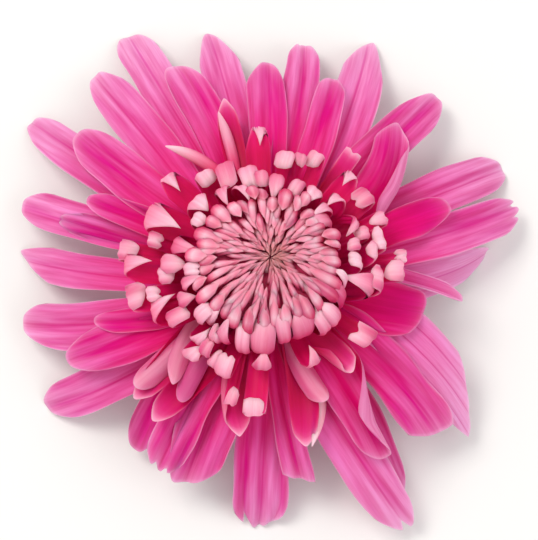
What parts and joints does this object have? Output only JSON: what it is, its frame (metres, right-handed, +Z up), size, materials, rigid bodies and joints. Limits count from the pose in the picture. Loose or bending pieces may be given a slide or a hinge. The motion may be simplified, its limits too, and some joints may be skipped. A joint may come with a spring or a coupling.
{
  "type": "decorative chrysanthemum bloom",
  "caption": "Picked chrysanthemum bloom lying face up: dense incurved centre, ring of hooked florets, long arching ray florets, bract cup and short cut stem.",
  "frame": {"origin": "middle of the ground that the bloom covers, on the surface it rests on", "axes": "+Z up along the bloom's axis, +Y away from the viewer at the picture's angle"},
  "size_m": [0.0979, 0.0997, 0.0322],
  "materials": {
    "stem": "satin",
    "bracts": "satin",
    "ray_florets": "satin",
    "hooked_florets": "satin",
    "centre_florets": "satin"
  },
  "bodies": {
    "root": {"stem": "stem", "involucre": "bracts", "outer_rays": "ray_florets", "collar_florets": "hooked_florets", "centre_florets": "centre_florets"}
  },
  "joints": []
}
